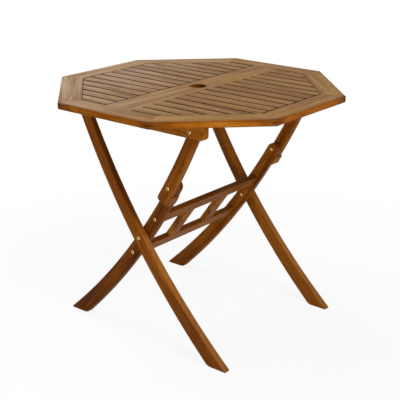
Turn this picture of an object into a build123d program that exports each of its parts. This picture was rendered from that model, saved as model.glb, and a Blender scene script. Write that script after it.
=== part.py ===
from build123d import *
from math import atan2, cos, hypot, radians, sin, sqrt
import os

os.makedirs("parts", exist_ok=True)

# Folding octagonal patio table: a slatted top in a mitred rim on two pairs of crossed, curved legs.
# Millimetres. The origin is on the floor under the middle of the top, +Z up, X along the slats and
# Y along the centre board. "near" is the -Y side and "far" the +Y side.

# Table top
across_flats = 800.0
table_height = 720.0
rim_thickness = 19.0
rim_width = 64.0
rim_edge_chamfer = 2.0
rim_sides = 8
centre_board_width = 88.0
parasol_hole_diameter = 50.0
hole_edge_chamfer = 1.5
slat_rows = 15
slat_gap = 5.0
slat_thickness = 15.0
slat_end_gap = 5.0
slat_joint_gap = 0.3
slat_edge_chamfer = 0.8
tongue_reach = 6.0
tongue_thickness = 7.0
groove_clearance = 0.1
groove_end_clearance = 0.5

# Battens that carry the legs under the top
batten_thickness = 20.0
batten_depth = 40.0
batten_edge_inset = 111.0
batten_end_inset = 18.0
batten_corner_radius = 14.0
batten_edge_chamfer = 1.5

# Legs and links
leg_thickness = 21.0
leg_gap = 4.0
batten_gap = 1.0
pivot_edge_inset = 191.0
pivot_drop = 23.0
crossing_height = 323.0
foot_spread = 574.0
leg_width_top = 33.0
leg_width_crossing = 39.0
leg_width_foot = 47.0
leg_edge_chamfer = 2.0
foot_corner_chamfer = 6.0
knee_height = 497.0
link_tail = 53.0
link_corner_radius = 10.0

# Stop blocks at the knees
stop_start = 20.0
stop_end = 49.0
stop_thickness = 4.5
stop_overlap = 14.0
stop_corner_chamfer = 1.5
stop_clearance = 0.15

# Stretcher ladder between the inner legs
upper_rail_height = 382.6
lower_rail_height = 259.5
rail_width = 38.0
rail_thickness = 17.0
strut_width = 38.0
strut_count = 2
tenon_width = 26.0
tenon_thickness = 8.0
tenon_depth = 11.0
tenon_clearance = 0.1
ladder_edge_chamfer = 1.5

# Fasteners
bolt_diameter = 6.0
head_diameter = 11.0
head_height = 2.4
sleeve_diameter = 9.0
sleeve_proud = 2.0
running_clearance = 0.08
seat_clearance = 0.3
rail_bolt_length = 55.0
rail_bolt_end_clearance = 0.5

# Worked out for the top
apothem = across_flats / 2
inner_apothem = apothem - rim_width
half_turn = 180 / rim_sides
rim_bottom = table_height - rim_thickness
rim_middle = table_height - rim_thickness / 2
slat_pitch = (2 * inner_apothem - slat_gap) / slat_rows
slat_width = slat_pitch - slat_gap
slat_bottom = table_height - slat_thickness
tongue_bottom = slat_bottom + (slat_thickness - tongue_thickness) / 2
groove_height = tongue_thickness + 2 * groove_clearance
groove_middle = tongue_bottom + tongue_thickness / 2
groove_depth = tongue_reach + groove_end_clearance

# Worked out for the layers of battens, legs and pivots, from the edge of the top inwards
batten_outside = apothem - batten_edge_inset
batten_face = batten_outside - batten_thickness
outer_leg_outside = batten_face - batten_gap
outer_leg_face = outer_leg_outside - leg_thickness
inner_leg_outside = outer_leg_face - leg_gap
inner_leg_face = inner_leg_outside - leg_thickness
batten_half_length = apothem * sqrt(2) - batten_outside - batten_end_inset
batten_bottom = rim_bottom - batten_depth
pivot_x = apothem - pivot_edge_inset
pivot_height = rim_bottom - pivot_drop
foot_x = foot_spread / 2
below_floor = leg_width_foot
bolt_radius = bolt_diameter / 2
head_radius = head_diameter / 2
sleeve_radius = sleeve_diameter / 2
bolt_hole_radius = bolt_radius + running_clearance
sleeve_hole_radius = sleeve_radius + running_clearance
sides = {"near": -1, "far": 1}


def save(piece, name):
    """Label a finished piece and write its STEP file."""
    piece.part.label = name
    export_step(piece.part, f"parts/{name}.step")


def circle_through(a, b, c):
    """Centre and radius of the circle through three points."""
    squares = [x * x + z * z for x, z in (a, b, c)]
    area = 2 * (a[0] * (b[1] - c[1]) + b[0] * (c[1] - a[1]) + c[0] * (a[1] - b[1]))
    x = (squares[0] * (b[1] - c[1]) + squares[1] * (c[1] - a[1]) + squares[2] * (a[1] - b[1])) / area
    z = (squares[0] * (c[0] - b[0]) + squares[1] * (a[0] - c[0]) + squares[2] * (b[0] - a[0])) / area
    return (x, z), hypot(a[0] - x, a[1] - z)


# The centre line of every leg is one arc: top pivot, crossing, middle of the foot.
arc_centre, arc_radius = circle_through((pivot_x, pivot_height), (0, crossing_height), (-foot_x, 0))


def leg_width(height):
    """Width across a leg, which spreads from the pivot to the crossing and on to the foot."""
    if height > crossing_height:
        share = (height - crossing_height) / (pivot_height - crossing_height)
        return leg_width_crossing + share * (leg_width_top - leg_width_crossing)
    return leg_width_foot + height / crossing_height * (leg_width_crossing - leg_width_foot)


def leg_point(height, offset=0.0, hand=1):
    """Point beside the centre line; offset is outwards from the arc, hand 1 rises to +X."""
    rise = height - arc_centre[1]
    run = sqrt(arc_radius**2 - rise**2)
    scale = 1 + offset / arc_radius
    return hand * (arc_centre[0] + run * scale), arc_centre[1] + rise * scale


def leg_along(height, distance):
    """Height on the centre line that lies a distance further down the leg."""
    turn = atan2(height - arc_centre[1], leg_point(height)[0] - arc_centre[0]) - distance / arc_radius
    return arc_centre[1] + arc_radius * sin(turn)


def leg_strip(top, bottom, hand):
    """Outline of a leg between two heights, with a round top end."""
    heights = (top, (top + bottom) / 2, bottom)
    outer = [leg_point(h, leg_width(h) / 2, hand) for h in heights]
    hollow = [leg_point(h, -leg_width(h) / 2, hand) for h in heights]
    crown = leg_point(leg_along(top, -leg_width(top) / 2), 0, hand)
    with BuildSketch() as strip:
        with BuildLine():
            ThreePointArc(*outer)
            Line(outer[2], hollow[2])
            ThreePointArc(*reversed(hollow))
            ThreePointArc(hollow[0], crown, outer[0])
        make_face()
    return strip.sketch


def layer(side, face, thickness):
    """Upright plane from which an extrusion along its normal fills a layer on one side."""
    return Plane.XZ.offset(face if side < 0 else -face - thickness)


def ease(piece, size):
    """Take the arris off the long edges of a flat-sided wooden piece and leave its bolt holes sharp."""
    flats = piece.faces().filter_by(Axis.Y)
    chamfer(flats.edges().filter_by(lambda edge: not edge.is_closed), size)


def turned(side, place, face, outline):
    """Turn an outline of (radius, outward distance) points about a bolt line in Y."""
    origin = (place[0], side * face, place[1])
    with BuildPart() as piece:
        with BuildSketch(Plane(origin, x_dir=(1, 0, 0), z_dir=(0, 0, side))):
            with BuildLine():
                Polyline(*outline, close=True)
            make_face()
        revolve(axis=Axis(origin, (0, side, 0)))
    return piece.part


def bolt(side, place, face, shank):
    """Bolt with its head seated on a face and its shank pointing inwards."""
    outline = [
        (0, -shank),
        (bolt_radius, -shank),
        (bolt_radius, 0),
        (head_radius, 0),
        (head_radius, head_height),
        (0, head_height),
    ]
    return turned(side, place, face, outline)


def sleeve(side, place, face, length):
    """Sleeve nut that the bolt screws into: a barrel that stands a little proud of the inner face."""
    outline = [
        (0, -sleeve_proud),
        (sleeve_radius, -sleeve_proud),
        (sleeve_radius, length),
        (0, length),
    ]
    return turned(side, place, face, outline)


# Rim: eight mitred boards, grooved along their inner edges.
for number in range(rim_sides):
    turn = number * 360 / rim_sides
    outward = Vector(cos(radians(turn)), sin(radians(turn)), 0)
    across = Vector(outward.Y, -outward.X, 0)
    with BuildPart() as rim_board:
        with BuildSketch(Plane((0, 0, 0), x_dir=outward, z_dir=across)) as section:
            with Locations((inner_apothem + rim_width / 2, rim_middle)):
                Rectangle(rim_width, rim_thickness)
            chamfer(section.vertices().group_by(Axis.X)[-1], rim_edge_chamfer)
            with Locations((inner_apothem + groove_depth / 2, groove_middle)):
                Rectangle(groove_depth, groove_height, mode=Mode.SUBTRACT)
        extrude(amount=apothem, both=True)
        for end, keep in ((half_turn, Keep.BOTTOM), (-half_turn, Keep.TOP)):
            mitre = radians(turn + end)
            split(bisect_by=Plane((0, 0, 0), z_dir=(-sin(mitre), cos(mitre), 0)), keep=keep)
    save(rim_board, f"rim_board_{number + 1}")

# Centre board: grooved on both sides, tongued at its ends, with the parasol hole.
with BuildPart() as centre_board:
    with BuildSketch(Plane.XZ) as section:
        with Locations((0, rim_middle)):
            Rectangle(centre_board_width, rim_thickness)
        for edge in (-1, 1):
            with Locations((edge * (centre_board_width - groove_depth) / 2, groove_middle)):
                Rectangle(groove_depth, groove_height, mode=Mode.SUBTRACT)
    extrude(amount=inner_apothem, both=True)
    with BuildSketch(Plane.XY.offset(tongue_bottom)):
        Rectangle(centre_board_width - 2 * groove_depth, 2 * (inner_apothem + tongue_reach))
    extrude(amount=tongue_thickness)
    with Locations((0, 0, table_height)):
        Hole(parasol_hole_diameter / 2)
    mouth = centre_board.edges().filter_by(GeomType.CIRCLE).group_by(Axis.Z)[-1]
    chamfer(mouth, hole_edge_chamfer)
save(centre_board, "centre_board")

# Slats: two in each row, tongued into the rim at one end and into the centre board at the other. Their
# shoulders butt against the centre board and the sloping rim boards and stand off the two end rim boards.
for hand, half in ((-1, "left"), (1, "right")):
    for row in range(slat_rows):
        slat_y = -inner_apothem + slat_gap + slat_width / 2 + row * slat_pitch
        with BuildPart() as slat:
            for joint_gap, end_gap, bottom, thickness in (
                (slat_joint_gap, slat_end_gap, slat_bottom, slat_thickness),
                (-tongue_reach, -tongue_reach, tongue_bottom, tongue_thickness),
            ):
                start = centre_board_width / 2 + joint_gap
                end = inner_apothem - end_gap
                with BuildSketch(Plane.XY.offset(bottom)):
                    with Locations((hand * (start + end) / 2, slat_y)):
                        Rectangle(end - start, slat_width)
                    RegularPolygon(
                        inner_apothem - joint_gap,
                        rim_sides,
                        major_radius=False,
                        rotation=half_turn,
                        mode=Mode.INTERSECT,
                    )
                extrude(amount=thickness)
            arrises = slat.faces().sort_by(Axis.Z)[-1].edges().filter_by(Axis.X)
            chamfer(arrises, slat_edge_chamfer)
        save(slat, f"slat_{half}_{row + 1:02d}")

# Battens: flat against the underside of the rim and the centre board, bolted through at both pivots.
for name, side in sides.items():
    with BuildPart() as batten:
        with BuildSketch(layer(side, batten_face, batten_thickness)) as outline:
            with Locations((0, rim_bottom - batten_depth / 2)):
                Rectangle(2 * batten_half_length, batten_depth)
            fillet(outline.vertices().group_by(Axis.Y)[0], batten_corner_radius)
            with Locations((-pivot_x, pivot_height), (pivot_x, pivot_height)):
                Circle(bolt_hole_radius, mode=Mode.SUBTRACT)
        extrude(amount=batten_thickness)
        flats = batten.faces().filter_by(Axis.Y)
        lower = flats.edges().filter_by(lambda edge: not edge.is_closed).filter_by_position(
            Axis.Z, batten_bottom - batten_edge_chamfer, batten_bottom + batten_corner_radius
        )
        chamfer(lower, batten_edge_chamfer)
    save(batten, f"batten_{name}")

# Outer legs: whole curved legs that hang from the -X pivots.
for name, side in sides.items():
    with BuildPart() as outer_leg:
        with BuildSketch(layer(side, outer_leg_face, leg_thickness)) as outline:
            add(leg_strip(pivot_height, -below_floor, -1))
            with Locations((0, -below_floor)):
                Rectangle(2 * foot_spread, 2 * below_floor, mode=Mode.SUBTRACT)
            chamfer(outline.vertices().group_by(Axis.Y)[0], foot_corner_chamfer)
            with Locations((-pivot_x, pivot_height)):
                Circle(sleeve_hole_radius, mode=Mode.SUBTRACT)
            with Locations((0, crossing_height)):
                Circle(bolt_hole_radius, mode=Mode.SUBTRACT)
        extrude(amount=leg_thickness)
        ease(outer_leg, leg_edge_chamfer)
    save(outer_leg, f"outer_leg_{name}")

# Inner legs: the same curve mirrored, cut short and rounded at the knee, bolted to the rails.
knee = leg_point(knee_height)
upper_rail = leg_point(upper_rail_height)
lower_rail = leg_point(lower_rail_height)
for name, side in sides.items():
    with BuildPart() as inner_leg:
        with BuildSketch(layer(side, inner_leg_face, leg_thickness)) as outline:
            add(leg_strip(knee_height, -below_floor, 1))
            with Locations((0, -below_floor)):
                Rectangle(2 * foot_spread, 2 * below_floor, mode=Mode.SUBTRACT)
            chamfer(outline.vertices().group_by(Axis.Y)[0], foot_corner_chamfer)
            with Locations(knee, (0, crossing_height)):
                Circle(sleeve_hole_radius, mode=Mode.SUBTRACT)
            with Locations(upper_rail, lower_rail):
                Circle(bolt_hole_radius, mode=Mode.SUBTRACT)
        extrude(amount=leg_thickness)
        ease(inner_leg, leg_edge_chamfer)
    save(inner_leg, f"inner_leg_{name}")

# Upper links: from the +X pivots to the knees, with a tail that lies over the inner leg.
tail_height = leg_along(knee_height, link_tail)
for name, side in sides.items():
    with BuildPart() as upper_link:
        with BuildSketch(layer(side, outer_leg_face, leg_thickness)) as outline:
            add(leg_strip(pivot_height, tail_height, 1))
            fillet(outline.vertices().group_by(Axis.Y)[:2], link_corner_radius)
            with Locations((pivot_x, pivot_height)):
                Circle(sleeve_hole_radius, mode=Mode.SUBTRACT)
            with Locations(knee):
                Circle(bolt_hole_radius, mode=Mode.SUBTRACT)
        extrude(amount=leg_thickness)
        ease(upper_link, leg_edge_chamfer)
    save(upper_link, f"upper_link_{name}")

# Stop blocks: on the links' outer edges, standing over the inner legs' edges.
stop_heights = [leg_along(knee_height, at) for at in (stop_start, (stop_start + stop_end) / 2, stop_end)]
with BuildPart() as stop_blocks:
    for side in sides.values():
        seats = [leg_width(h) / 2 + stop_clearance for h in stop_heights]
        near_edge = [leg_point(h, seat) for h, seat in zip(stop_heights, seats)]
        far_edge = [leg_point(h, seat + stop_thickness) for h, seat in zip(stop_heights, seats)]
        stop_face = inner_leg_outside - stop_overlap
        stop_depth = outer_leg_outside - leg_edge_chamfer - stop_face
        with BuildSketch(layer(side, stop_face, stop_depth)) as outline:
            with BuildLine():
                ThreePointArc(*near_edge)
                Line(near_edge[2], far_edge[2])
                ThreePointArc(*reversed(far_edge))
                Line(far_edge[0], near_edge[0])
            make_face()
            chamfer(outline.vertices().sort_by(Axis.X)[-1], stop_corner_chamfer)
        extrude(amount=stop_depth)
save(stop_blocks, "knee_stop_blocks")

# Stretcher ladder: two rails and the struts tenoned between them, flat in the plane of the rail bolts.
rail_run = upper_rail[0] - lower_rail[0]
rail_rise = upper_rail[1] - lower_rail[1]
rail_spacing = hypot(rail_run, rail_rise)
rail_length = 2 * inner_leg_face
ladder_up = Vector(rail_run, 0, rail_rise).normalized()
ladder_middle = (lower_rail[0] + rail_run / 2, 0, lower_rail[1] + rail_rise / 2)
ladder = Plane(ladder_middle, x_dir=(0, 1, 0), z_dir=Vector(0, 1, 0).cross(ladder_up))
strut_length = rail_spacing - rail_width
opening = (rail_length - strut_count * strut_width) / (strut_count + 1)
strut_pitch = opening + strut_width
strut_places = [(number - (strut_count - 1) / 2) * strut_pitch for number in range(strut_count)]
mortise_length = strut_length + 2 * tenon_depth + 2 * tenon_clearance
rail_hole_depth = rail_bolt_length - leg_thickness + rail_bolt_end_clearance
for name, half, place in (("upper_rail", 1, upper_rail), ("lower_rail", -1, lower_rail)):
    with BuildPart() as rail:
        with BuildSketch(ladder):
            with Locations((0, half * rail_spacing / 2)):
                Rectangle(rail_length, rail_width)
        extrude(amount=rail_thickness / 2, both=True)
        chamfer(rail.edges().filter_by(Axis.Y), ladder_edge_chamfer)
        with BuildSketch(ladder):
            with Locations(*[(at, 0) for at in strut_places]):
                Rectangle(tenon_width + 2 * tenon_clearance, mortise_length)
        extrude(amount=tenon_thickness / 2 + tenon_clearance, both=True, mode=Mode.SUBTRACT)
        for side in sides.values():
            with Locations(Plane((place[0], side * inner_leg_face, place[1]), z_dir=(0, side, 0))):
                Hole(bolt_hole_radius, rail_hole_depth)
    save(rail, name)
for number, at in enumerate(strut_places):
    with BuildPart() as strut:
        with BuildSketch(ladder):
            with Locations((at, 0)):
                Rectangle(strut_width, strut_length)
        extrude(amount=rail_thickness / 2, both=True)
        chamfer(strut.edges().filter_by(Axis((0, 0, 0), ladder_up)), ladder_edge_chamfer)
        with BuildSketch(ladder):
            with Locations((at, 0)):
                Rectangle(tenon_width, strut_length + 2 * tenon_depth)
        extrude(amount=tenon_thickness / 2, both=True)
    save(strut, f"strut_{number + 1}")

# Fasteners, each kind one group. Each bolt meets its sleeve nut inside the joint.
top_pivots = [(-pivot_x, pivot_height), (pivot_x, pivot_height)]
crossing = (0, crossing_height)
with BuildPart() as top_pivot_bolts:
    for side in sides.values():
        for place in top_pivots:
            add(bolt(side, place, batten_outside, batten_thickness))
save(top_pivot_bolts, "top_pivot_bolts")
with BuildPart() as top_pivot_sleeves:
    for side in sides.values():
        for place in top_pivots:
            add(sleeve(side, place, outer_leg_face, leg_thickness + batten_gap - seat_clearance))
save(top_pivot_sleeves, "top_pivot_sleeves")
with BuildPart() as crossing_bolts:
    for side in sides.values():
        add(bolt(side, crossing, outer_leg_outside, leg_thickness))
save(crossing_bolts, "crossing_bolts")
with BuildPart() as crossing_sleeves:
    for side in sides.values():
        add(sleeve(side, crossing, inner_leg_face, leg_thickness + leg_gap - seat_clearance))
save(crossing_sleeves, "crossing_sleeves")
with BuildPart() as knee_bolts:
    for side in sides.values():
        add(bolt(side, knee, outer_leg_outside, leg_thickness))
save(knee_bolts, "knee_bolts")
with BuildPart() as knee_sleeves:
    for side in sides.values():
        add(sleeve(side, knee, inner_leg_face, leg_thickness + leg_gap - seat_clearance))
save(knee_sleeves, "knee_sleeves")
with BuildPart() as rail_bolts:
    for side in sides.values():
        for place in (upper_rail, lower_rail):
            add(bolt(side, place, inner_leg_outside, rail_bolt_length))
save(rail_bolts, "rail_bolts")

print("knee", knee, "rails", upper_rail, lower_rail, "slat width", slat_width)
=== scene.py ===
# %% [markdown]
# Folding octagonal patio table
#
# The table is oiled hardwood with small brass-coloured bolts. Its pieces come in at their real size and
# place, so this lesson is about what they look like: where the camera stands, how a white studio is lit,
# how one wood recipe follows the grain of straight and curved pieces and ages outdoors, and how fasteners
# are repeated.

# %% Load the table
import math
from collections import namedtuple

import bmesh
import bpy
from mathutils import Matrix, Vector


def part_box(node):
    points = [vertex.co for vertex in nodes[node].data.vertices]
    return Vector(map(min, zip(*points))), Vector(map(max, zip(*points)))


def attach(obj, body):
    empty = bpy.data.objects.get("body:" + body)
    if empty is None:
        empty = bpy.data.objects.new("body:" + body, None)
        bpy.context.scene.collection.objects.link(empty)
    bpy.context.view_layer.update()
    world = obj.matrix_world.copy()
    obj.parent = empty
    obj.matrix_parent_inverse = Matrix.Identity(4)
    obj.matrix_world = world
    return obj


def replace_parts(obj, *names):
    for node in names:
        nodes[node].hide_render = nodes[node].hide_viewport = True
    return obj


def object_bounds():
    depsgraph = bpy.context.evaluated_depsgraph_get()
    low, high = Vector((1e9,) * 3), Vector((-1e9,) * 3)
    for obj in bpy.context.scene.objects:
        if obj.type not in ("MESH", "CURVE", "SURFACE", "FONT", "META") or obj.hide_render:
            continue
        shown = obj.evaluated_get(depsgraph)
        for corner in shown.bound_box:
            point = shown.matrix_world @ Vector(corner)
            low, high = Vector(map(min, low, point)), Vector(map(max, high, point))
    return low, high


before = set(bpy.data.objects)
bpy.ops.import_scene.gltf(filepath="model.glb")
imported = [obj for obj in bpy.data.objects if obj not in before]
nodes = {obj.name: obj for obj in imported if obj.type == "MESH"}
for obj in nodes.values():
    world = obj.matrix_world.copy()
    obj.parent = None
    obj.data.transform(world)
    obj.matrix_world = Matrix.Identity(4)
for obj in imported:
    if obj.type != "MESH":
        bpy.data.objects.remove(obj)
cad_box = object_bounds()
scene = bpy.context.scene
scene.view_settings.view_transform = "Standard"
print("pieces", len(nodes), "box", [round(v, 3) for v in cad_box[1] - cad_box[0]])

# %% [markdown]
# The camera
#
# The eight corners of the top are a regular octagon, so one picture of them is enough to work out where
# the camera stood. The angles below are how far it stands round from the front and above the horizon.

# %% Place the camera
camera_turn = math.radians(39.374)
camera_rise = math.radians(19.619)
camera_place = Vector((1.7492, -2.1219, 1.3459))
camera_back = Vector((
    math.sin(camera_turn) * math.cos(camera_rise),
    -math.cos(camera_turn) * math.cos(camera_rise),
    math.sin(camera_rise),
))
camera_data = bpy.data.cameras.new("camera")
camera_data.sensor_width = 36.0
camera_data.lens = 86.26
camera = bpy.data.objects.new("camera", camera_data)
camera.location = camera_place
camera.rotation_mode = "QUATERNION"
camera.rotation_quaternion = (-camera_back).to_track_quat("-Z", "Y")
scene.collection.objects.link(camera)
scene.camera = camera
print("camera", [round(v, 2) for v in camera.location], "lens", round(camera_data.lens, 2))

# %% [markdown]
# Shader maths
#
# Nodes are easier to read as sums. A Wire holds one socket: adding or multiplying wires adds Math nodes,
# and its node method makes any other node from its kind, settings and inputs.


# %% Wire up nodes with plain arithmetic
class Wire:
    """One output socket of a node tree, with arithmetic."""

    def __init__(self, tree, socket=None):
        self.tree = tree
        self.socket = socket

    def node(self, kind, inputs=None, out=0, stops=None, **settings):
        """Add a node: settings first, then its inputs by name or number; returns one of its outputs."""
        made = self.tree.nodes.new(kind)
        for name, value in settings.items():
            setattr(made, name, value)
        if stops:
            ramp = made.color_ramp.elements
            while len(ramp) < len(stops):
                ramp.new(0.5)
            for element, (position, color) in zip(ramp, stops):
                element.position = position
                element.color = (*color, 1)
        for name, value in (inputs or {}).items():
            if isinstance(value, Wire):
                self.tree.links.new(value.socket, made.inputs[name])
            else:
                made.inputs[name].default_value = value
        return Wire(self.tree, made.outputs[out])

    def sibling(self, name):
        """Another output of the node that this wire comes from."""
        return Wire(self.tree, self.socket.node.outputs[name])

    def feed(self, target, name):
        """Link this wire into one input of a shader or an output node."""
        self.tree.links.new(self.socket, target.inputs[name])

    def math(self, operation, *others):
        """A Math node on this wire and other wires or numbers."""
        return self.node("ShaderNodeMath", dict(enumerate((self, *others))), operation=operation)

    def __add__(self, other):
        return self.math("ADD", other)

    def __radd__(self, other):
        return self.math("ADD", other)

    def __sub__(self, other):
        return self.math("SUBTRACT", other)

    def __rsub__(self, other):
        return self.node("ShaderNodeMath", {0: other, 1: self}, operation="SUBTRACT")

    def __mul__(self, other):
        return self.math("MULTIPLY", other)

    def __rmul__(self, other):
        return self.math("MULTIPLY", other)

    def __truediv__(self, other):
        return self.math("DIVIDE", other)

    def between(self, low, high):
        """Rise smoothly from 0 at low to 1 at high."""
        values = {"Value": self, "From Min": low, "From Max": high}
        return self.node("ShaderNodeMapRange", values, interpolation_type="SMOOTHSTEP")

    def blend(self, factor, other):
        """Mix this colour with another one."""
        color = other if isinstance(other, Wire) else (*other, 1)
        return self.node("ShaderNodeMix", {0: factor, 6: self, 7: color}, out=2, data_type="RGBA")


def blank_material(name):
    """A new material, a wire into its tree, and its Principled shader."""
    material = bpy.data.materials.new(name)
    material.use_nodes = True
    return material, Wire(material.node_tree), material.node_tree.nodes["Principled BSDF"]


def seen_directly(wire):
    """1 for rays that show the studio itself: to the camera, in gloss or through glass."""
    path = wire.node("ShaderNodeLightPath", out="Is Camera Ray")
    gloss = path.math("MAXIMUM", path.sibling("Is Glossy Ray"))
    return gloss.math("MAXIMUM", path.sibling("Is Transmission Ray"))


print("wire ready")

# %% [markdown]
# The studio
#
# The table stands on white in soft light. One lamp hangs high on the right, a wider one high on the left,
# and a low one at the front right reaches the legs under the top. Whatever looks straight at the studio
# sees plain white, and so does a gloss. Light Path tells those rays from the rest, so the background can be
# white while the sky that lights the wood stays dim.

# %% Light the studio
sky_light = 0.29
table_middle = (0, 0, 0.5)

world = bpy.data.worlds.new("studio")
world.use_nodes = True
scene.world = world
background = world.node_tree.nodes["Background"]
background.inputs["Color"].default_value = (1, 1, 1, 1)
(sky_light + seen_directly(Wire(world.node_tree)) * (1 - sky_light)).feed(background, "Strength")


def soft_lamp(name, place, width, power):
    """Square area lamp aimed at the middle of the table."""
    data = bpy.data.lights.new(name, "AREA")
    data.shape = "SQUARE"
    data.size = width
    data.energy = power
    lamp = bpy.data.objects.new(name, data)
    lamp.location = place
    lamp.rotation_mode = "QUATERNION"
    lamp.rotation_quaternion = (Vector(table_middle) - Vector(place)).to_track_quat("-Z", "Y")
    scene.collection.objects.link(lamp)
    print(name, power, "W")


soft_lamp("right_lamp", (2.2, -0.8, 3.0), width=1.4, power=58)
soft_lamp("top_lamp", (-1.7, 0.0, 2.8), width=2.2, power=52)
soft_lamp("front_lamp", (2.2, -2.4, 0.7), width=1.6, power=30)

# %% [markdown]
# The floor
#
# Near the table the floor is partly plain white and partly lit, so it keeps a soft shadow, and further out
# it fades to plain white. It throws less light back than it shows, so that the underside of the top stays
# dark.

# %% Lay the floor
floor_reach = 30.0
floor_bounce = 0.50
floor_white = 0.97
floor_glow = 0.86
floor_roughness = 0.9
shadow_near = 0.6
shadow_far = 1.5

corners = [(-floor_reach, -floor_reach, 0), (floor_reach, -floor_reach, 0)]
corners += [(floor_reach, floor_reach, 0), (-floor_reach, floor_reach, 0)]
floor_mesh = bpy.data.meshes.new("floor")
floor_mesh.from_pydata(corners, [], [(0, 1, 2, 3)])
floor = bpy.data.objects.new("floor", floor_mesh)
scene.collection.objects.link(floor)
floor_material, floor_wire, floor_shader = blank_material("white_floor")
floor_shader.inputs["Roughness"].default_value = floor_roughness
floor_shader.inputs["Specular IOR Level"].default_value = 0.0
floor_seen = seen_directly(floor_wire)
floor_tone = floor_bounce + floor_seen * (floor_white - floor_bounce)
floor_color = floor_tone.node("ShaderNodeCombineColor", {0: floor_tone, 1: floor_tone, 2: floor_tone})
floor_color.feed(floor_shader, "Base Color")
glow = floor_wire.node("ShaderNodeEmission", {"Color": (1, 1, 1, 1), "Strength": 1.0})
lit_floor = Wire(floor_wire.tree, floor_shader.outputs[0])
floor_place = floor_wire.node("ShaderNodeTexCoord", out="Object")
span = floor_wire.node("ShaderNodeVectorMath", {0: floor_place}, out="Value", operation="LENGTH")
whiteness = floor_glow + span.between(shadow_near, shadow_far) * (1 - floor_glow)
floor_mix = floor_wire.node("ShaderNodeMixShader", {0: floor_seen * whiteness, 1: lit_floor, 2: glow})
floor_mix.feed(floor_wire.tree.nodes["Material Output"], "Surface")
floor_mesh.materials.append(floor_material)
print("floor", 2 * floor_reach, "m wide")

# %% [markdown]
# The grain of hardwood
#
# Grain runs along each piece. Pictures of wood would have to be stretched over every shape, so the recipe
# works from three lengths instead: how far along the grain a point is, how far across it and how deep.
# Noise with cells that are stretched along the grain gives slow bands, fine streaks, flecks, short pores
# and patches of dark heartwood. Each board has a number, which gives it its own stretch of grain.
#
# A Grain holds those lengths and the number, and what else a piece may show. Stain darkens what lies below
# the table's surface, as real stains and as painted shade in gaps and in the parasol hole, and a painted
# shadow line stands for a gap on any face. Oil brings out heartwood, and tone lightens, which on the far
# legs is painted light. Damp darkens, and painted light and painted shade lie on faces that look up.

# %% Draw the grain
Grain = namedtuple(
    "Grain",
    "along across depth number stain joint oil tone damp dust dirt",
    defaults=(None, None, 0.0, 0.0, None, None, None),
)
Cells = namedtuple("Cells", "stretch fineness detail")
Pattern = namedtuple("Pattern", "shade bands streaks flecks pores heart")
band_cells = Cells(14, 60, 2)
streak_cells = Cells(22, 340, 3)
fleck_cells = Cells(7, 330, 1)
pore_cells = Cells(26, 1100, 1)
heart_cells = Cells(9, 26, 1)
noise_roughness = 0.55
plank_length = 7.0
heart_shift = 3.0
band_contrast = 1.9
streak_contrast = 1.5
fleck_range = (0.50, 0.72)
fleck_strength = 0.45
pore_range = (0.60, 0.74)
heart_range = (0.55, 0.72)
heart_strength = 0.6


def grain_noise(along, across, depth, cells):
    """Noise with cells that are longer along the grain than across it; fineness is in cells per metre."""
    fineness = cells.fineness
    scaled = {0: along * (fineness / cells.stretch), 1: across * fineness, 2: depth * fineness}
    cell = along.node("ShaderNodeCombineXYZ", scaled)
    inputs = {"Vector": cell, "Scale": 1.0, "Detail": cells.detail, "Roughness": noise_roughness}
    return cell.node("ShaderNodeTexNoise", inputs)


def wood_pattern(grain, variety):
    """The noises of one kind of board, and its shade, in which 0 is dark and 1 is light."""
    chance = grain.along.node("ShaderNodeTexWhiteNoise", {"W": grain.number}, noise_dimensions="1D")
    along = grain.along + chance * plank_length
    lengths = (along, grain.across, grain.depth)
    bands = grain_noise(*lengths, band_cells)
    streaks = grain_noise(*lengths, streak_cells)
    flecks = grain_noise(*lengths, fleck_cells).between(*fleck_range) * fleck_strength
    pores = grain_noise(*lengths, pore_cells).between(*pore_range)
    patches = grain_noise(along + heart_shift, grain.across, grain.depth, heart_cells)
    heart = (patches + grain.oil).between(*heart_range) * heart_strength
    figure = (bands - 0.5) * band_contrast + (streaks - 0.5) * streak_contrast
    shade = 0.5 + grain.tone + figure + (chance - 0.5) * variety
    return Pattern(shade, bands, streaks, flecks, pores, heart)


print("noises per wood", len(Pattern._fields) - 1)

# %% [markdown]
# Wood that has stood outdoors, with painted light and shade
#
# The surface of the top is dry and pale, and one side of it has a painted sheen. Damp darkens the feet,
# painted light and painted shade lie on faces that look up, and painted shade fills gaps, joints and the
# parasol hole. Each of these is a mask that blends one more colour over the wood, so a piece can have some
# and not others.

# %% Age the wood
# For real stains at the rim's corners, and for painted shade in gaps and in the parasol hole.
gap_color = (0.022, 0.008, 0.0018)
damp_color = (0.088, 0.021, 0.0018)
# Painted light and painted shade for the faces that look up.
painted_light_color = (0.400, 0.165, 0.0420)
painted_shade_color = (0.075, 0.016, 0.0015)
heart_color = (0.150, 0.040, 0.0050)
# Painted sheen: a pale veil on one side of the top's surface.
sheen_color = (0.430, 0.340, 0.265)
sheen_side = math.radians(200)
sheen_range = (-0.10, 0.37)
sheen_contrast = 1.5
sheen_loss = 0.42
top_level = cad_box[1].z
surface_range = (top_level - 0.003, top_level - 0.001)
looks_up = (0.2, 0.5)
lies_flat = (0.55, 0.95)
Spot = namedtuple("Spot", "x y z up")


def find_spot(wire):
    """Where a point is in the table's frame at rest, and how far its face looks up."""
    place = wire.node("ShaderNodeTexCoord", out="Object")
    x = wire.node("ShaderNodeSeparateXYZ", {0: place})
    up = wire.node("ShaderNodeSeparateXYZ", {0: place.sibling("Normal")}, out="Z")
    return Spot(x, x.sibling("Y"), x.sibling("Z"), up)


def graded(shade, tones):
    """Colour for a shade from 0 to 1, through dark, middle and light."""
    return shade.node("ShaderNodeValToRGB", {0: shade}, stops=list(zip((0.0, 0.5, 1.0), tones)))


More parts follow.
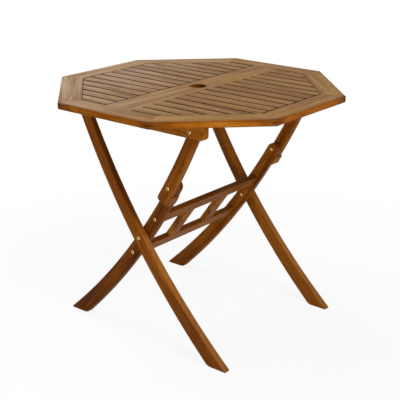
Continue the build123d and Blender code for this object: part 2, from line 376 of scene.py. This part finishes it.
def soiled_and_shaded(color, grain, spot):
    """Wood with its damp, with painted light and painted shade on the faces that look up, and with stains
    and painted shade in gaps.
    """
    if grain.damp:
        color = color.blend(grain.damp, damp_color)
    # Painted light and painted shade on the faces that look up.
    for amount, painted_color in ((grain.dust, painted_light_color), (grain.dirt, painted_shade_color)):
        if amount:
            color = color.blend(amount * spot.up.between(*looks_up), painted_color)
    # Real stains, and painted shade in gaps and in the parasol hole.
    if grain.stain:
        color = color.blend(grain.stain, gap_color)
    return color


def dried(color, tones, pattern, spot):
    """Wood whose faces at the level of the table's surface have dry tones and a painted sheen on one side.
    """
    # Painted sheen on one side, streaked by the bands of the grain.
    toward_sheen = spot.x * math.cos(sheen_side) + spot.y * math.sin(sheen_side)
    sheen = toward_sheen.between(*sheen_range) * (pattern.bands * sheen_contrast - sheen_loss)
    surface = spot.up.between(*lies_flat) * spot.z.between(*surface_range)
    dry = graded(pattern.shade, tones).blend(pattern.heart, heart_color)
    return color.blend(surface, dry.blend(sheen, sheen_color))


print("painted_sheen towards", round(math.degrees(sheen_side)), "degrees")

# %% [markdown]
# The wood recipe
#
# The parts above now make one material. A Bevel node finds the arrises, where oil has rubbed off, and
# rounds them in the light. The gloss of oil is low and warm, so the shader's specular is weak and tinted.

# %% Write the wood recipe
sheen_tint = (1.0, 0.50, 0.14, 1)
bevel_reach = 0.0022
pore_color = (0.045, 0.013, 0.002)
# Colour of the painted shadow lines of the gaps.
gap_shadow_color = (0.036, 0.016, 0.0060)
arris_range = (0.75, 0.99)
worn_range = (0.35, 0.65)
worn_strength = 0.35
pore_strength = 0.40
oil_roughness = 0.48
streak_roughness = 0.14
pore_roughness = 0.12
streak_height = 0.6
pore_height = 0.5
relief_depth = 0.0006
relief_strength = 0.22


def oiled_wood(name, grain, tones, upper_tones=None, variety=0.3, gloss=0.12):
    """Hardwood; the grain function turns x, y, z into a Grain: lengths, a board number and masks.

    Upper tones are for the faces of the table's surface, and the tones for all other faces. Variety is how
    much the shade differs from board to board.
    """
    material, wire, shader = blank_material(name)
    spot = find_spot(wire)
    board = grain(spot.x, spot.y, spot.z)
    pattern = wood_pattern(board, variety)
    rounded = wire.node("ShaderNodeBevel", {"Radius": bevel_reach}, samples=4)
    straight = wire.node("ShaderNodeNewGeometry", out="True Normal")
    pair = {0: rounded, 1: straight}
    agreement = wire.node("ShaderNodeVectorMath", pair, out="Value", operation="DOT_PRODUCT")
    worn = (1 - agreement.between(*arris_range)) * pattern.streaks.between(*worn_range)
    color = graded(pattern.shade, tones).blend(pattern.heart, heart_color)
    color = soiled_and_shaded(color.blend(worn * worn_strength, tones[2]), board, spot)
    if upper_tones:
        color = dried(color, upper_tones, pattern, spot)
    # Painted shadow lines of the gaps.
    if board.joint:
        color = color.blend(board.joint, gap_shadow_color)
    color = color.blend(pattern.flecks, heart_color).blend(pattern.pores * pore_strength, pore_color)
    color.feed(shader, "Base Color")
    roughness = oil_roughness + pattern.streaks * streak_roughness + pattern.pores * pore_roughness
    roughness.feed(shader, "Roughness")
    height = pattern.streaks * streak_height - pattern.pores * pore_height
    relief = {"Height": height, "Strength": relief_strength, "Distance": relief_depth, "Normal": rounded}
    height.node("ShaderNodeBump", relief).feed(shader, "Normal")
    shader.inputs["Specular IOR Level"].default_value = gloss
    shader.inputs["Specular Tint"].default_value = sheen_tint
    print("wood", name, len(wire.tree.nodes), "nodes")
    return material


def dress(material, *names):
    """Give CAD pieces a material."""
    for name in names:
        mesh = nodes[name].data
        mesh.materials.clear()
        mesh.materials.append(material)


# %% [markdown]
# The slats and the centre board
#
# Slats lie along X and the centre board along Y. A slat's row and side give it a number, because boards
# from different planks have their own shade. Painted shade darkens the walls of the gaps and the slats'
# long edges. Painted shadow lines mark the gaps where slats meet the sloping rim boards and the left side
# of the centre board; in the CAD the slats butt there, so these lines are only drawn, in the colour of the
# wood.

# %% Dress the slats and the centre board
slat_names = sorted(name for name in nodes if name.startswith("slat_"))
leg_tones = [(0.085, 0.016, 0.0010), (0.262, 0.069, 0.0042), (0.410, 0.134, 0.0120)]
orange_tones = [(0.125, 0.025, 0.0011), (0.332, 0.092, 0.0040), (0.475, 0.162, 0.0140)]
slat_tones = [(0.108, 0.043, 0.0092), (0.220, 0.109, 0.0260), (0.318, 0.173, 0.0520)]
dry_tones = [(0.129, 0.056, 0.0110), (0.235, 0.117, 0.0255), (0.335, 0.182, 0.0530)]
first_low, first_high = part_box("slat_left_01")
row_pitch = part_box("slat_left_02")[0].y - first_low.y
row_start = first_high.y - row_pitch
row_gap = row_pitch - (first_high.y - first_low.y)
side_step = 31.0
slat_bottom = first_low.z
slat_wall = (slat_bottom + 0.001, slat_bottom + 0.003)
slat_oil = 0.03
edge_shade_width = 0.003
edge_strength = 0.9
rim_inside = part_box("rim_board_1")[0].x
rim_gap_shadow = 0.0036
rim_gap_shadow_core = 0.7 * rim_gap_shadow
board_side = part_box("centre_board")[1].x
left_gap_shadow = 0.0085
left_gap_shadow_core = 0.6 * left_gap_shadow
centre_number = 120.0
hole_radius = 0.025
hole_edge = 0.001
hole_painted_shade = 0.35
back_painted_shade = 0.6


def slat_grain(x, y, z):
    """Grain along X, with painted shade on the gap walls and long edges, and painted shadow lines at the
    ends.
    """
    row = ((y - row_start) / row_pitch).math("FLOOR")
    slope = (x.math("ABSOLUTE") + y.math("ABSOLUTE")) * math.sqrt(0.5)
    # Painted shadow lines where the slats meet the sloping rim boards and the left side of the centre
    # board.
    rim_end = slope.between(rim_inside - rim_gap_shadow, rim_inside - rim_gap_shadow_core)
    board_end = x.between(-board_side - left_gap_shadow, -board_side - left_gap_shadow_core)
    left_end = board_end * x.math("LESS_THAN", 0.0)
    within = y - row_start - row * row_pitch
    # Painted shade along the slats' long edges, beside the gaps.
    low_edge = within.between(row_gap + edge_shade_width, row_gap)
    high_edge = within.between(row_pitch - edge_shade_width, row_pitch)
    edge = edge_strength * low_edge.math("MAXIMUM", high_edge)
    joint = rim_end.math("MAXIMUM", left_end).math("MAXIMUM", edge)
    # Painted shade on the walls of the gaps between slats.
    gap_wall = z.between(*slat_wall)
    return Grain(x, y, z, row + x.math("SIGN") * side_step, gap_wall, joint, oil=slat_oil)


def centre_grain(x, y, z):
    """Grain along Y, with painted shade in the parasol hole, most of it on the back and right."""
    reach = (x * x + y * y).math("SQRT")
    # Painted shade on the wall of the parasol hole, strongest on the back and right.
    recess_dark = hole_painted_shade + back_painted_shade * (x + y).between(-hole_radius, hole_radius)
    return Grain(y, x, z, centre_number, recess_dark * reach.between(hole_radius + hole_edge, hole_radius))


dress(oiled_wood("slat_wood", slat_grain, leg_tones, slat_tones, variety=0.30, gloss=0.10), *slat_names)
dress(oiled_wood("centre_wood", centre_grain, orange_tones, dry_tones, variety=0.25), "centre_board")

# %% [markdown]
# The rim
#
# The eight rim boards share one recipe: each point finds its board from the angle round the middle, and so
# how far along and across that board it is. The real boards join at the corners with short fingers. The CAD
# has plain mitres there, so the fingers are only drawn, as dark lines. End grain drinks more oil, so the
# corners are darker too.

# %% Dress the rim
rim_names = sorted(name for name in nodes if name.startswith("rim_board_"))
rim_boards = 8
first_rim_number = 1822.0
board_angle = math.tau / rim_boards
rim_outside = cad_box[1].x
rim_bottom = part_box("rim_board_1")[0].z
rim_wall = (rim_inside + 0.001, rim_inside + 0.003)
mitre_reach = rim_outside * math.tan(board_angle / 2)
mitre_stain_length = 0.014
mitre_stain = 0.25
finger_length = 0.017
finger_end_dark = 0.8 * finger_length
finger_pitch = (top_level - rim_bottom) / 2
finger_line_range = (0.24, 0.12)
finger_stain = 0.85
oil_length = 0.07
oil_reach = 0.022
edge_oil = 0.07
corner_oil = 0.34
lit_wall_lift = 0.45
lit_wall_range = (-0.25, -0.30)


def rim_grain(x, y, z):
    """Grain along each rim board, with painted shade on the inner walls, weaker at -X where that wall faces
    the light, and dark corners.
    """
    board = (y.math("ARCTAN2", x) / board_angle).math("ROUND")
    angle = board * board_angle
    across = x * angle.math("COSINE") + y * angle.math("SINE")
    along = y * angle.math("COSINE") - x * angle.math("SINE")
    from_middle = along.math("ABSOLUTE")
    # Painted shade on the inner walls of the rim, weaker at -X, where that wall faces the light.
    lit_wall = lit_wall_lift * x.between(*lit_wall_range)
    inner_wall = (1 - across.between(*rim_wall)) * (1 - lit_wall)
    mitre = from_middle.between(mitre_reach - mitre_stain_length, mitre_reach) * mitre_stain
    finger_end = from_middle.between(mitre_reach - finger_length, mitre_reach - finger_end_dark)
    finger_height = ((z - rim_bottom) / finger_pitch).math("PINGPONG", 0.5)
    finger_line = finger_height.between(*finger_line_range)
    stain = inner_wall.math("MAXIMUM", mitre).math("MAXIMUM", finger_end * finger_line * finger_stain)
    corner = from_middle.between(mitre_reach - oil_length, mitre_reach)
    oil = across.between(rim_outside - oil_reach, rim_outside) * (edge_oil + corner * corner_oil)
    number = board.math("FLOORED_MODULO", rim_boards) + first_rim_number
    return Grain(along, across, z, number, stain, oil=oil)


dress(oiled_wood("rim_wood", rim_grain, orange_tones, dry_tones, variety=0.40), *rim_names)

# %% [markdown]
# The legs
#
# Every leg is cut to the same arc, and the grain of a sawn curved leg is best drawn along that arc. Polar
# coordinates do that: the distance from the arc's centre is across the grain, and the angle times the
# radius is along it. The arc is the CAD's, and the outer legs use its mirror image. The feet are damp.
# Faces that look up get painted light low down, and on the near legs painted shade under the shelter of
# the top. The far legs are painted lighter than the near ones.

# %% Dress the legs, links and blocks
block_tones = [(0.140, 0.045, 0.0045), (0.340, 0.126, 0.0160), (0.450, 0.195, 0.0360)]
arc_x = 1.7612
arc_z = 1.5989
arc_radius = 2.1748
damp_top = 0.25
damp_full = 0.06
damp_strength = 0.35
shelter_height = 0.36
shelter_fade = 0.05
# Painted light low down and painted shade of the top higher up, on faces that look up.
leg_painted_light = 0.45
leg_painted_shade = 0.32
far_step = 3.0


def arc_grain(hand, number, tone_middle, far_painted_light):
    """Grain along the arc of a leg; hand is 1 for legs that rise to +X and -1 for the mirrored ones.

    The far legs are lighter than the near ones by twice the last argument; this is painted light.
    """
    def grain(x, y, z):
        run = x * hand + arc_x
        rise = z - arc_z
        across = (run * run + rise * rise).math("SQRT")
        along = rise.math("ARCTAN2", run) * arc_radius
        side = y.math("SIGN")
        # Painted light: the far legs are lighter than the near ones.
        tone = tone_middle + side * far_painted_light
        damp = z.between(damp_top, damp_full) * damp_strength
        # Painted light low down, and painted shade of the top on the near legs above.
        dust = leg_painted_light * z.between(shelter_height, shelter_height - shelter_fade)
        dirt = leg_painted_shade * (1 - side) * z.between(shelter_height, shelter_height + shelter_fade)
        leg = side * far_step + number
        return Grain(along, across, y, leg, tone=tone, damp=damp, dust=dust, dirt=dirt)
    return grain


outer_grain = arc_grain(-1, number=130.0, tone_middle=0.10, far_painted_light=0.13)
inner_grain = arc_grain(1, number=150.0, tone_middle=-0.03, far_painted_light=0.09)
link_grain = arc_grain(1, number=170.0, tone_middle=0.08, far_painted_light=0.0)
block_grain = arc_grain(1, number=210.0, tone_middle=0.03, far_painted_light=0.11)
dress(oiled_wood("outer_leg_wood", outer_grain, leg_tones), "outer_leg_near", "outer_leg_far")
dress(oiled_wood("inner_leg_wood", inner_grain, leg_tones), "inner_leg_near", "inner_leg_far")
dress(oiled_wood("link_wood", link_grain, leg_tones), "upper_link_near", "upper_link_far")
dress(oiled_wood("block_wood", block_grain, block_tones), "knee_stop_blocks")

# %% [markdown]
# The battens and the stretcher
#
# These are straight boards. The battens run along X and the rails along Y, so plain coordinates and their
# sums give the three lengths. The struts lean with the rails, but their grain is drawn straight up. Painted
# shade lies on the faces of rails and struts that look up.

# %% Dress the battens, rails and struts
rail_tones = [(0.120, 0.027, 0.0020), (0.360, 0.112, 0.0085), (0.500, 0.185, 0.0240)]
batten_number = 160.0
batten_tone = 0.10
rail_number = 180.0
# Painted shade on the faces of rails and struts that look up.
rail_painted_shade = 0.62
rails_per_metre = 12.0
strut_number = 200.0
strut_painted_shade = 0.3
pair_step = 2.0


def batten_grain(x, y, z):
    """Grain along X; the two battens differ by their side."""
    return Grain(x, z, y, y.math("SIGN") * pair_step + batten_number, tone=batten_tone)


def rail_grain(x, y, z):
    """Grain along Y; height gives the number, which also changes once within the lower rail."""
    number = (z * rails_per_metre).math("FLOOR") + rail_number
    return Grain(y, x - z, x + z, number, dirt=rail_painted_shade)


def strut_grain(x, y, z):
    """Grain straight up; the two struts differ by their side."""
    return Grain(z, y, x, y.math("SIGN") * pair_step + strut_number, dirt=strut_painted_shade)


dress(oiled_wood("batten_wood", batten_grain, orange_tones), "batten_near", "batten_far")
dress(oiled_wood("rail_wood", rail_grain, rail_tones), "upper_rail", "lower_rail")
dress(oiled_wood("strut_wood", strut_grain, rail_tones), "strut_1", "strut_2")

# %% [markdown]
# Brass-coloured fasteners
#
# Each pivot has a round-headed bolt with a hexagon socket, which screws into a sleeve on the inside. One of
# each is turned as rings of points, and a Geometry Nodes tree sets a copy at each place that the CAD pieces
# give, with the spin of each left to chance.

# %% Make the hardware finish
brass_tones = [(0.3, (0.48, 0.31, 0.09)), (0.7, (0.80, 0.61, 0.24))]
recess_dark_color = (0.018, 0.010, 0.005)
tarnish_scale = 900.0
tarnish_detail = 3.0
brass_roughness = 0.22
tarnish_roughness = 0.25

brass, brass_wire, brass_shader = blank_material("brass")
brass_place = brass_wire.node("ShaderNodeTexCoord", out="Object")
tarnish_inputs = {"Vector": brass_place, "Scale": tarnish_scale, "Detail": tarnish_detail}
tarnish = brass_place.node("ShaderNodeTexNoise", tarnish_inputs)
# Darker paint deep in the socket and the slot.
recess_dark = brass_wire.node("ShaderNodeAttribute", out="Fac", attribute_name="recess_dark")
bright = tarnish.node("ShaderNodeValToRGB", {0: tarnish}, stops=brass_tones)
bright.blend(recess_dark, recess_dark_color).feed(brass_shader, "Base Color")
(brass_roughness + tarnish * tarnish_roughness).feed(brass_shader, "Roughness")
brass_shader.inputs["Metallic"].default_value = 1.0
print("brass ready")

# %% Turn one fastener from rings
turn_sides = 48
slot_sharpness = 8
sharp_angle = math.radians(32)


def hexagon(apothem):
    """Radius of a hexagon by angle, for a bolt's socket."""
    def radius(angle):
        return apothem / math.cos((angle % (math.tau / 6)) - math.tau / 12)
    return radius


def cross(reach, arm):
    """Radius of a cross by angle, for a screw's slot."""
    def radius(angle):
        return arm + (reach - arm) * math.cos(2 * angle) ** slot_sharpness
    return radius


def turned_mesh(name, rings):
    """Closed mesh from rings of radius, height and, deep in a recess, a weight that paints it darker.

    A radius may be a function of the angle, and a radius of 0 is a pole.
    """
    made = bmesh.new()
    recess_layer = made.verts.layers.float.new("recess_dark")
    loops = []
    for radius, height, *recess_dark in rings:
        loop = []
        for step in range(1 if radius == 0 else turn_sides):
            angle = math.tau * step / turn_sides
            reach = radius(angle) if callable(radius) else radius
            point = made.verts.new((reach * math.cos(angle), reach * math.sin(angle), height))
            point[recess_layer] = sum(recess_dark)
            loop.append(point)
        loops.append(loop)
    for lower, upper in zip(loops, loops[1:]):
        for step in range(turn_sides):
            after = (step + 1) % turn_sides
            if len(lower) == 1:
                made.faces.new((lower[0], upper[after], upper[step]))
            elif len(upper) == 1:
                made.faces.new((lower[step], lower[after], upper[0]))
            else:
                made.faces.new((lower[step], lower[after], upper[after], upper[step]))
    bmesh.ops.recalc_face_normals(made, faces=made.faces)
    for face in made.faces:
        face.smooth = True
    mesh = bpy.data.meshes.new(name)
    made.to_mesh(mesh)
    made.free()
    mesh.set_sharp_from_angle(angle=sharp_angle)
    return mesh


print("turned in", turn_sides, "sides")


# %% Build the tree that repeats a fastener
def fastener_tree():
    """Geometry Nodes: a shape on each point, turned to face outwards, spun by chance, then made real."""
    tree = bpy.data.node_groups.new("repeat_fastener", "GeometryNodeTree")
    face = tree.interface
    face.new_socket("Geometry", in_out="INPUT", socket_type="NodeSocketGeometry")
    face.new_socket("Shape", in_out="INPUT", socket_type="NodeSocketObject")
    face.new_socket("Seed", in_out="INPUT", socket_type="NodeSocketInt")
    face.new_socket("Material", in_out="INPUT", socket_type="NodeSocketMaterial")
    face.new_socket("Geometry", in_out="OUTPUT", socket_type="NodeSocketGeometry")
    start = Wire(tree).node("NodeGroupInput", out="Geometry")
    solid = start.node("GeometryNodeObjectInfo", {"Object": start.sibling("Shape")}, out="Geometry")
    outward = start.node("GeometryNodeInputNamedAttribute", {"Name": "outward"}, data_type="FLOAT_VECTOR")
    facing = start.node("FunctionNodeAlignRotationToVector", {"Vector": outward}, axis="Z")
    chance = {"Max": math.tau, "Seed": start.sibling("Seed")}
    spin = start.node("FunctionNodeRandomValue", chance, out=1, data_type="FLOAT")
    twist = start.node("FunctionNodeAxisAngleToRotation", {"Axis": (0, 0, 1), "Angle": spin})
    both = {"Rotation": facing, "Rotate By": twist}
    turned = start.node("FunctionNodeRotateRotation", both, rotation_space="LOCAL")
    setting = {"Points": start, "Instance": solid, "Rotation": turned}
    copies = start.node("GeometryNodeInstanceOnPoints", setting)
    real = start.node("GeometryNodeRealizeInstances", {"Geometry": copies})
    finish = {"Geometry": real, "Material": start.sibling("Material")}
    painted = start.node("GeometryNodeSetMaterial", finish)
    painted.feed(tree.nodes.new("NodeGroupOutput"), "Geometry")
    return tree


repeat_fastener = fastener_tree()
print("tree", repeat_fastener.name, len(repeat_fastener.nodes), "nodes")

# %% Find where the CAD fasteners sit
fastener_spacing = 0.03
Place = namedtuple("Place", "x z side low high")


def fastener_places(node):
    """Each fastener of a CAD group: its middle in x and z, its side, and its least and most |y|."""
    groups = []
    for point in (vertex.co for vertex in nodes[node].data.vertices):
        side = 1 if point.y > 0 else -1
        for group_side, points in groups:
            gap = math.hypot(points[0].x - point.x, points[0].z - point.z)
            if group_side == side and gap < fastener_spacing:
                points.append(point)
                break
        else:
            groups.append((side, [point]))
    places = []
    for side, points in groups:
        xs = [p.x for p in points]
        zs = [p.z for p in points]
        depths = [abs(p.y) for p in points]
        middle = ((min(xs) + max(xs)) / 2, (min(zs) + max(zs)) / 2)
        places.append(Place(*middle, side, min(depths), max(depths)))
    return places


print("knee bolts found", len(fastener_places("knee_bolts")))


# %% Set copies of a fastener in place
def set_fasteners(name, body, rings, places, seed):
    """Repeat one turned fastener; places are pairs of a point and the direction that its head faces."""
    shape = bpy.data.objects.new(name + "_shape", turned_mesh(name + "_shape", rings))
    points = bpy.data.meshes.new(name)
    points.from_pydata([point for point, direction in places], [], [])
    outward = points.attributes.new("outward", "FLOAT_VECTOR", "POINT")
    for item, (point, direction) in zip(outward.data, places):
        item.vector = direction
    piece = bpy.data.objects.new(name, points)
    scene.collection.objects.link(piece)
    modifier = piece.modifiers.new("repeat", "NODES")
    modifier.node_group = repeat_fastener
    items = repeat_fastener.interface.items_tree
    sockets = {item.name: item.identifier for item in items if item.in_out == "INPUT"}
    modifier[sockets["Shape"]] = shape
    modifier[sockets["Seed"]] = seed
    modifier[sockets["Material"]] = brass
    evaluated = piece.evaluated_get(bpy.context.evaluated_depsgraph_get())
    plain = bpy.data.meshes.new_from_object(evaluated)
    piece.modifiers.clear()
    piece.data = plain
    bpy.data.objects.remove(shape)
    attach(piece, body)
    print(name, len(places), "copies", len(plain.polygons), "faces")
    return piece


# %% Draw a bolt, a sleeve and a screw
head_radius = 0.0055
head_height = 0.0024
head_rim = 0.0008
dome_angles = (0.0, 0.4, 0.75, 1.05)
shank_radius = 0.003
socket_apothem = 0.0023
socket_lip = 1.3 * socket_apothem
lip_depth = 0.0001
socket_start = 0.0003
socket_wall = 0.0012
socket_middle = 0.0014
sleeve_radius = 0.0045
sleeve_edge = 0.0007
sleeve_round = 0.3 * sleeve_edge
screw_radius = 0.0042
screw_height = 0.0016
screw_crown = 0.93 * screw_height
screw_flat = 0.0026
slot_reach = 0.0022
slot_arm = 0.0007
slot_floor = 0.0006
slot_middle = 0.0005


def bolt_rings(length):
    """Bolt with the top of its head at height 0 and its shank pointing down."""
    socket = hexagon(socket_apothem)
    crown = head_height - head_rim
    dome = [(head_radius * math.cos(t), crown * (math.sin(t) - 1)) for t in dome_angles]
    return [
        (0, -length), (shank_radius - head_rim, -length), (shank_radius, head_rim - length),
        (shank_radius, -head_height), (head_radius, -head_height), *dome,
        (socket_lip, -lip_depth), (socket, -socket_start), (socket, -socket_wall, 1),
        (0, -socket_middle, 1),
    ]


def sleeve_rings(length):
    """Sleeve nut with the round end that shows at height 0."""
    return [
        (0, -length), (sleeve_radius, -length), (sleeve_radius, -sleeve_edge),
        (sleeve_radius - sleeve_round, -sleeve_round), (sleeve_radius - sleeve_edge, 0), (0, 0),
    ]


def screw_rings():
    """Low round screw head on a surface at height 0."""
    slot = cross(slot_reach, slot_arm)
    dome = [(screw_radius * math.cos(t), screw_height * math.sin(t)) for t in dome_angles[:3]]
    recess = [(slot, screw_crown), (slot, slot_floor, 1), (0, slot_middle, 1)]
    return [(0, 0.0), *dome, (screw_flat, screw_crown), *recess]


print("rings of a screw", len(screw_rings()))

# %% Set the bolts and sleeves
bolts = {
    "top_pivot_bolts": "table_top",
    "crossing_bolts": "outer_legs",
    "knee_bolts": "upper_links",
    "rail_bolts": "inner_legs",
}
sleeves = {
    "top_pivot_sleeves": "table_top",
    "crossing_sleeves": "outer_legs",
    "knee_sleeves": "inner_legs",
}
sleeve_seed = 10


def replace_group(node, body, rings, facing, seed):
    """Turned fasteners in place of a CAD group; facing is 1 where their heads look outwards, else -1."""
    found = fastener_places(node)
    places = []
    for place in found:
        depth = place.high if facing > 0 else place.low
        places.append(((place.x, place.side * depth, place.z), (0, place.side * facing, 0)))
    length = found[0].high - found[0].low
    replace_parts(set_fasteners(node + "_turned", body, rings(length), places, seed), node)


for seed, (node, body) in enumerate(bolts.items()):
    replace_group(node, body, bolt_rings, 1, seed)
for seed, (node, body) in enumerate(sleeves.items(), sleeve_seed):
    replace_group(node, body, sleeve_rings, -1, seed)

# %% Set the screws under the battens
screw_inset = 0.028
screw_seed = 20

screw_places = []
for node in ("batten_near", "batten_far"):
    low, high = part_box(node)
    for x in (low.x + screw_inset, 0, high.x - screw_inset):
        screw_places.append(((x, (low.y + high.y) / 2, low.z), (0, 0, -1)))
set_fasteners("batten_screws", "table_top", screw_rings(), screw_places, screw_seed)
